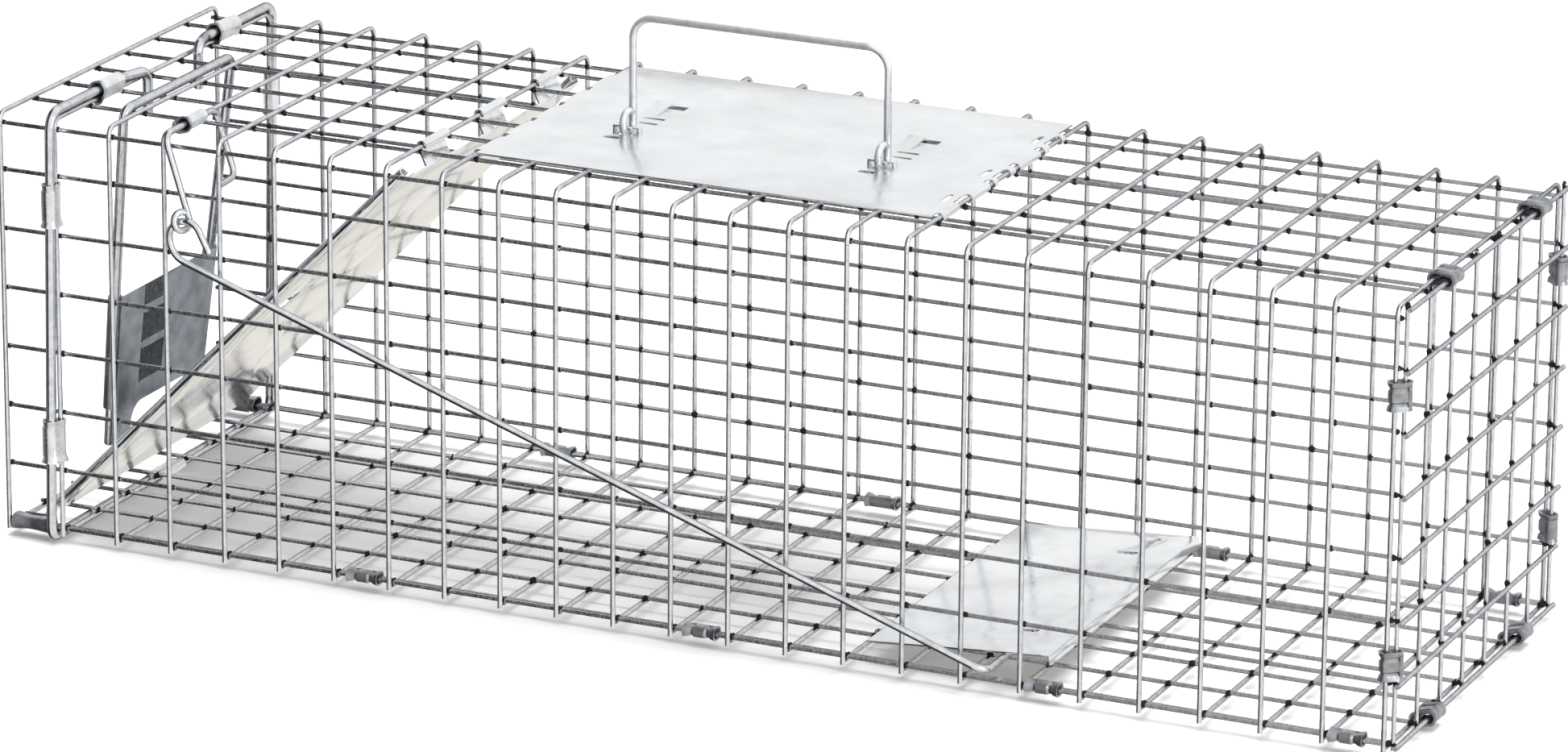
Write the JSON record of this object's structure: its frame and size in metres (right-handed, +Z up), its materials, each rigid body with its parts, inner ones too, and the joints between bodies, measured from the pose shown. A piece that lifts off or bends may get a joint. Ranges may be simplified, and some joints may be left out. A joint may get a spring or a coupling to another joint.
{
  "type": "live catch trap",
  "caption": "Long welded-wire live catch trap with a sheet gravity door, a swinging lock frame, a floor treadle, a trip rod and a carrying handle on a roof plate.",
  "frame": {"origin": "bottom centre of the whole trap's box at rest", "axes": "+X from the door end to the closed rear end, +Y from the trip-rod side to the other side, +Z up"},
  "size_m": [0.6184, 0.2016, 0.2336],
  "materials": {
    "mesh_wire": "galvanised wire, satin with fine zinc streaks",
    "rod_steel": "drawn galvanised rod, soft gloss",
    "sheet_bright": "bright galvanised sheet, near mirror with slight waves",
    "sleeve_light": "rolled galvanised sheet, satin",
    "clip_grey": "dark zinc clip, satin",
    "lock_zinc": "pressed zinc-coated plate, satin"
  },
  "bodies": {
    "cage": {"near_side_mesh": "mesh_wire", "far_side_mesh": "mesh_wire", "roof_mesh": "mesh_wire", "floor_mesh": "mesh_wire", "rear_mesh": "mesh_wire", "front_frame_rod": "rod_steel", "roof_plate": "sheet_bright", "roof_sleeve_near": "sleeve_light", "roof_sleeve_far": "sleeve_light", "side_sleeves_near": "sleeve_light", "side_sleeves_far": "sleeve_light", "floor_sleeve": "sleeve_light", "trigger_sleeve": "sleeve_light", "floor_clips_near": "clip_grey", "floor_clips_far": "clip_grey", "front_corner_clips": "clip_grey", "rear_clips_top": "clip_grey", "rear_clips_near": "clip_grey", "rear_clips_far": "clip_grey", "rear_clips_bottom": "clip_grey"},
    "door": {"door_panel": "sheet_bright"},
    "lock_frame": {"lock_rod": "rod_steel", "lock_plate": "lock_zinc"},
    "handle": {"handle": "rod_steel"},
    "trigger": {"trigger": "rod_steel"},
    "treadle": {"treadle": "sheet_bright"},
    "trip_rod": {"trip_rod": "rod_steel"}
  },
  "joints": [
    {"name": "door_hinge", "type": "hinge", "parent": "cage", "child": "door", "pos_m": [-0.12989, 0.00201, 0.18322], "axis": [0, 1, 0], "range_deg": [0, 29]},
    {"name": "lock_frame_hinge", "type": "hinge", "parent": "cage", "child": "lock_frame", "pos_m": [-0.26034, 0.00201, 0.18498], "axis": [0, 1, 0], "range_deg": [0, 52]},
    {"name": "handle_hinge", "type": "hinge", "parent": "cage", "child": "handle", "pos_m": [-0.00289, -0.00699, 0.18862], "axis": [1, 0, 0], "range_deg": [-55, 95]},
    {"name": "treadle_hinge", "type": "hinge", "parent": "cage", "child": "treadle", "pos_m": [0.07331, 0.00201, 0.00445], "axis": [0, 1, 0], "range_deg": [-2, 2.69]},
    {"name": "trigger_pivot", "type": "hinge", "parent": "cage", "child": "trigger", "pos_m": [-0.22889, 0.00201, 0.18452], "axis": [0, 1, 0], "range_deg": [-2.75, 2.05]},
    {"name": "trip_rod_pivot", "type": "hinge", "parent": "treadle", "child": "trip_rod", "pos_m": [0.13711, 0.00201, 0.0119], "axis": [0, 1, 0], "range_deg": [-2.2, 1.65]}
  ],
  "couplings": [
    {"joint": "lock_frame_hinge", "follows": "door_hinge", "ratio": 1.78},
    {"joint": "trigger_pivot", "follows": "treadle_hinge", "ratio": -1.003},
    {"joint": "trip_rod_pivot", "follows": "treadle_hinge", "ratio": -0.797}
  ]
}
